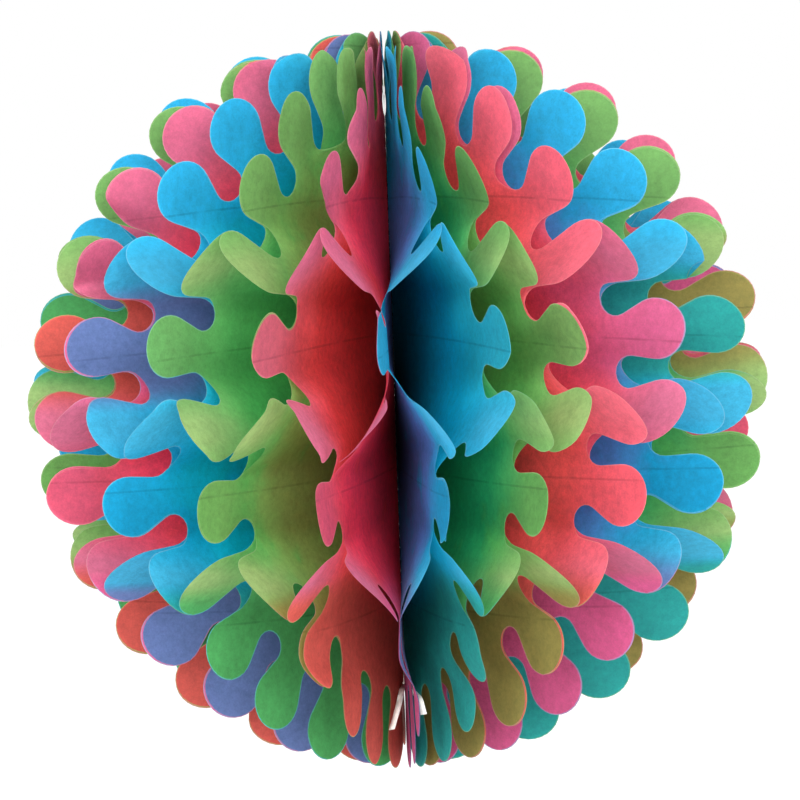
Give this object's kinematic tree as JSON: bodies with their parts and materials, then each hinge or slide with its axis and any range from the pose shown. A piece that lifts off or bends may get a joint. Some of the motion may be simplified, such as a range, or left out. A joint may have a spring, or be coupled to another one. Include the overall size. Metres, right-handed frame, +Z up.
{
  "type": "tissue paper ball",
  "caption": "Round honeycomb ball of fanned tissue leaves in turquoise, lime and cerise, with rounded knobs along every rim, for hanging as a party decoration.",
  "frame": {"origin": "centre of the ball, halfway up the spine", "axes": "+Z up along the spine that the leaves are bound to, -Y out of the front, +X to the right"},
  "size_m": [0.4825, 0.4816, 0.4806],
  "materials": {
    "turquoise": "thin dyed tissue, matt",
    "lime": "thin dyed tissue, matt",
    "cerise": "thin dyed tissue, matt",
    "binding": "white cotton cord"
  },
  "bodies": {
    "root": {"leaf_01_turquoise": "turquoise", "leaf_02_turquoise": "turquoise", "leaf_03_lime": "lime", "leaf_04_lime": "lime", "leaf_05_cerise": "cerise", "leaf_06_cerise": "cerise", "leaf_07_turquoise": "turquoise", "leaf_08_turquoise": "turquoise", "leaf_09_lime": "lime", "leaf_10_lime": "lime", "leaf_11_cerise": "cerise", "leaf_12_cerise": "cerise", "leaf_13_turquoise": "turquoise", "leaf_14_turquoise": "turquoise", "leaf_15_lime": "lime", "leaf_16_lime": "lime", "leaf_17_cerise": "cerise", "leaf_18_cerise": "cerise", "leaf_19_turquoise": "turquoise", "leaf_20_turquoise": "turquoise", "leaf_21_lime": "lime", "leaf_22_lime": "lime", "leaf_23_cerise": "cerise", "leaf_24_cerise": "cerise", "leaf_25_turquoise": "turquoise", "leaf_26_turquoise": "turquoise", "leaf_27_lime": "lime", "leaf_28_lime": "lime", "leaf_29_cerise": "cerise", "leaf_30_cerise": "cerise", "leaf_31_turquoise": "turquoise", "leaf_32_turquoise": "turquoise", "leaf_33_lime": "lime", "leaf_34_lime": "lime", "leaf_35_cerise": "cerise", "leaf_36_cerise": "cerise", "leaf_37_turquoise": "turquoise", "leaf_38_turquoise": "turquoise", "leaf_39_lime": "lime", "leaf_40_lime": "lime", "leaf_41_cerise": "cerise", "leaf_42_cerise": "cerise", "spine_binding": "binding"}
  },
  "joints": []
}
